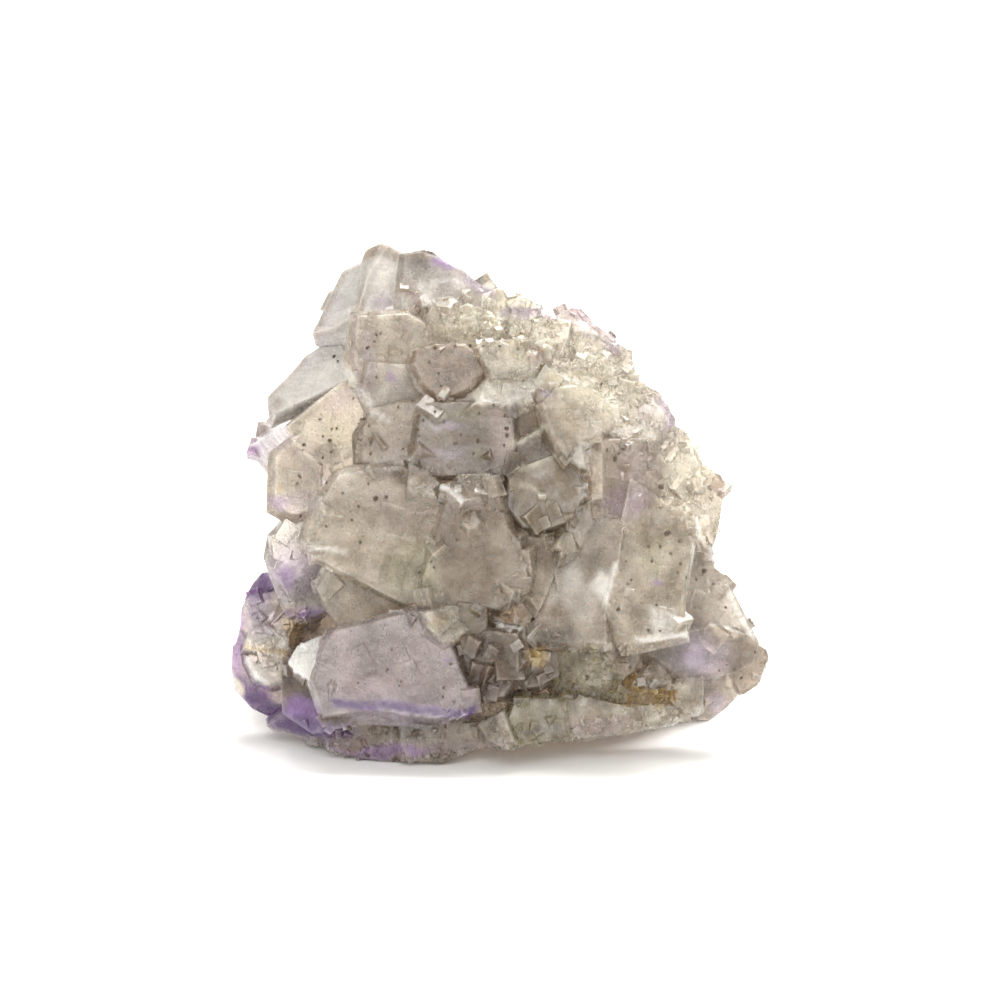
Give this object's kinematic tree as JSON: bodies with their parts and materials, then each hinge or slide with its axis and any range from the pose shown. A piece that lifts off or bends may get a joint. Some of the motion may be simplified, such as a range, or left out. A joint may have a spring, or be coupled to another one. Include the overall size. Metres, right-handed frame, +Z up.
{
  "type": "fluorite cluster",
  "caption": "Cluster of intergrown pale translucent fluorite cubes with a dark purple base edge, standing on a flat underside.",
  "frame": {"origin": "on the table plane, under the middle of the cluster's bounding box", "axes": "+Z up, -Y towards the side that the picture shows, +X to the right as seen from there"},
  "size_m": [0.08, 0.0586, 0.0703],
  "materials": {
    "fluorite": "frosted translucent crystal, pale grey-beige with lilac zones"
  },
  "bodies": {
    "root": {"fluorite_cluster": "fluorite"}
  },
  "joints": []
}
